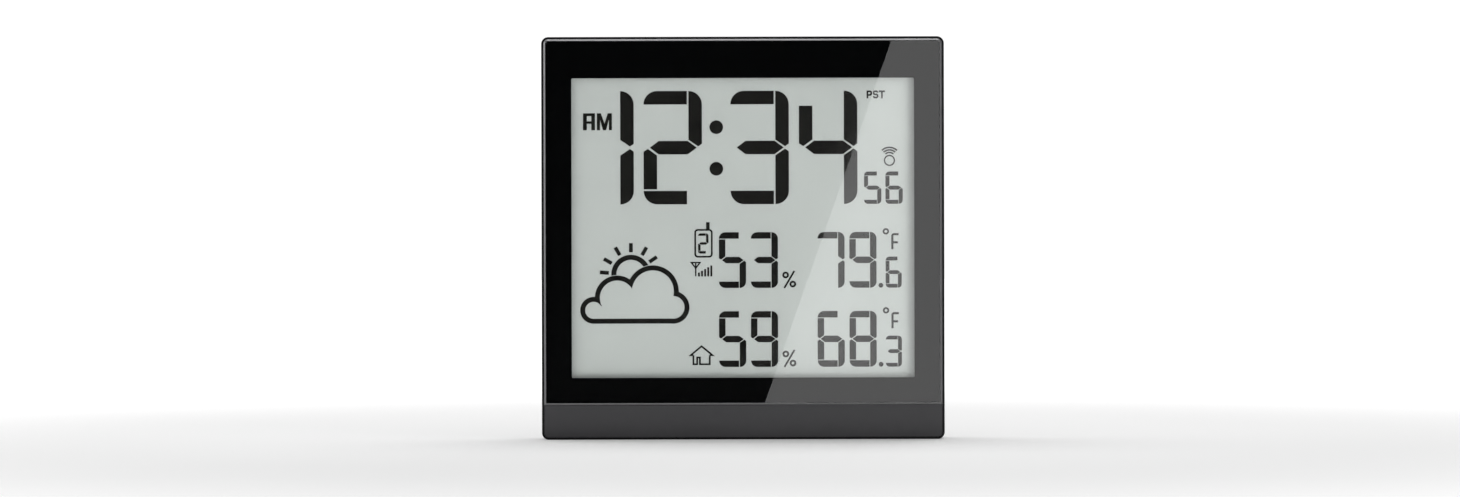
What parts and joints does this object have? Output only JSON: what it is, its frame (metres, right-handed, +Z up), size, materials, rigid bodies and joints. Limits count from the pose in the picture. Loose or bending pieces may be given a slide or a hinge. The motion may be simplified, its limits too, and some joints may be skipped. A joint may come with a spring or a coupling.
{
  "type": "home weather station",
  "caption": "Square wall and table clock with a large segment display of time, forecast, humidity and temperature behind a flat lens, with a folding stand, keys and a battery bay.",
  "frame": {"origin": "middle of the base, on the surface the station stands on", "axes": "+X to the right as the display is read, +Y from the display to the wall, +Z up"},
  "size_m": [0.23, 0.028, 0.23],
  "materials": {
    "frame_black": "glossy moulding",
    "case_grey": "fine satin texture",
    "cover_black": "fine moulded texture",
    "trim_silver": "satin metallic bead",
    "lens_clear": "polished",
    "print_black": "screen print",
    "adhesive": "foam tape",
    "foam": "closed-cell foam",
    "film": "clear polariser",
    "cell_glass": "clear",
    "cell_seal": "epoxy line",
    "lcd_ink": "dark segments",
    "reflector": "pale grey-green film",
    "holder_white": "natural moulding",
    "zebra": "striped silicone",
    "board_green": "solder resist",
    "chip_black": "epoxy blob",
    "components": "small parts",
    "crystal_can": "drawn can",
    "radio_board": "solder resist",
    "copper": "enamelled copper",
    "ferrite": "sintered",
    "sounder_black": "moulded",
    "sensor_white": "moulded",
    "wire_red": "insulation",
    "wire_black": "insulation",
    "wire_grey": "insulation",
    "nickel": "nickel plate",
    "battery_wrap": "plain sleeve",
    "steel": "bright",
    "screw_black": "black oxide",
    "switch_black": "moulded",
    "plunger_tan": "moulded",
    "key_black": "soft touch"
  },
  "bodies": {
    "case": {"aerial_clips": "holder_white", "aerial_coil": "copper", "aerial_rod": "ferrite", "batteries": "battery_wrap", "battery_lead_black": "wire_black", "battery_lead_red": "wire_red", "battery_plates": "nickel", "battery_springs": "nickel", "board_components": "components", "case_screws": "screw_black", "climate_sensor": "sensor_white", "clock_crystal": "crystal_can", "contact_strip": "zebra", "controller_chips": "chip_black", "front_frame": "frame_black", "front_lens": "lens_clear", "holder_screws": "steel", "key_board": "board_green", "key_board_screws": "steel", "key_ribbon": "wire_grey", "key_switches": "switch_black", "lcd_front_film": "film", "lcd_front_glass": "cell_glass", "lcd_gasket": "foam", "lcd_holder": "holder_white", "lcd_rear_glass": "cell_glass", "lcd_reflector": "reflector", "lcd_seal": "cell_seal", "lcd_segments": "lcd_ink", "lens_print": "print_black", "lens_tape": "adhesive", "lens_trim": "trim_silver", "lower_panel": "case_grey", "main_board": "board_green", "rear_cover": "cover_black", "receiver_board": "radio_board", "receiver_coil": "copper", "sensor_board": "board_green", "signal_leads": "wire_grey", "sounder": "sounder_black", "stand_pin": "steel"},
    "battery_door": {"battery_door": "cover_black"},
    "stand": {"stand": "cover_black"},
    "reset_key": {"key_reset": "key_black", "plunger_reset": "plunger_tan"},
    "set_key": {"key_set": "key_black", "plunger_set": "plunger_tan"},
    "plus_key": {"key_plus": "key_black", "plunger_plus": "plunger_tan"},
    "minus_key": {"key_minus": "key_black", "plunger_minus": "plunger_tan"},
    "channel_key": {"key_channel": "key_black", "plunger_channel": "plunger_tan"},
    "memory_key": {"key_memory": "key_black", "plunger_memory": "plunger_tan"},
    "units_key": {"key_units": "key_black", "plunger_units": "plunger_tan"},
    "signal_key": {"key_signal": "key_black", "plunger_signal": "plunger_tan"}
  },
  "joints": [
    {"name": "stand_hinge", "type": "hinge", "parent": "case", "child": "stand", "pos_m": [0, 0.0105, 0.095], "axis": [1, 0, 0], "range_deg": [0, 30]},
    {"name": "door_hinge", "type": "hinge", "parent": "case", "child": "battery_door", "pos_m": [0, 0.0138, 0.1079], "axis": [-1, 0, 0], "range_deg": [0, 75]},
    {"name": "press_reset", "type": "slide", "parent": "case", "child": "reset_key", "axis": [0, -1, 0], "range_m": [0, 0.0004], "stiffness_N_per_m": 700, "springref_m": -0.0006},
    {"name": "press_set", "type": "slide", "parent": "case", "child": "set_key", "axis": [0, -1, 0], "range_m": [0, 0.0004], "stiffness_N_per_m": 700, "springref_m": -0.0006},
    {"name": "press_plus", "type": "slide", "parent": "case", "child": "plus_key", "axis": [0, -1, 0], "range_m": [0, 0.0004], "stiffness_N_per_m": 700, "springref_m": -0.0006},
    {"name": "press_minus", "type": "slide", "parent": "case", "child": "minus_key", "axis": [0, -1, 0], "range_m": [0, 0.0004], "stiffness_N_per_m": 700, "springref_m": -0.0006},
    {"name": "press_channel", "type": "slide", "parent": "case", "child": "channel_key", "axis": [0, -1, 0], "range_m": [0, 0.0004], "stiffness_N_per_m": 700, "springref_m": -0.0006},
    {"name": "press_memory", "type": "slide", "parent": "case", "child": "memory_key", "axis": [0, -1, 0], "range_m": [0, 0.0004], "stiffness_N_per_m": 700, "springref_m": -0.0006},
    {"name": "press_units", "type": "slide", "parent": "case", "child": "units_key", "axis": [0, -1, 0], "range_m": [0, 0.0004], "stiffness_N_per_m": 700, "springref_m": -0.0006},
    {"name": "press_signal", "type": "slide", "parent": "case", "child": "signal_key", "axis": [0, -1, 0], "range_m": [0, 0.0004], "stiffness_N_per_m": 700, "springref_m": -0.0006}
  ]
}
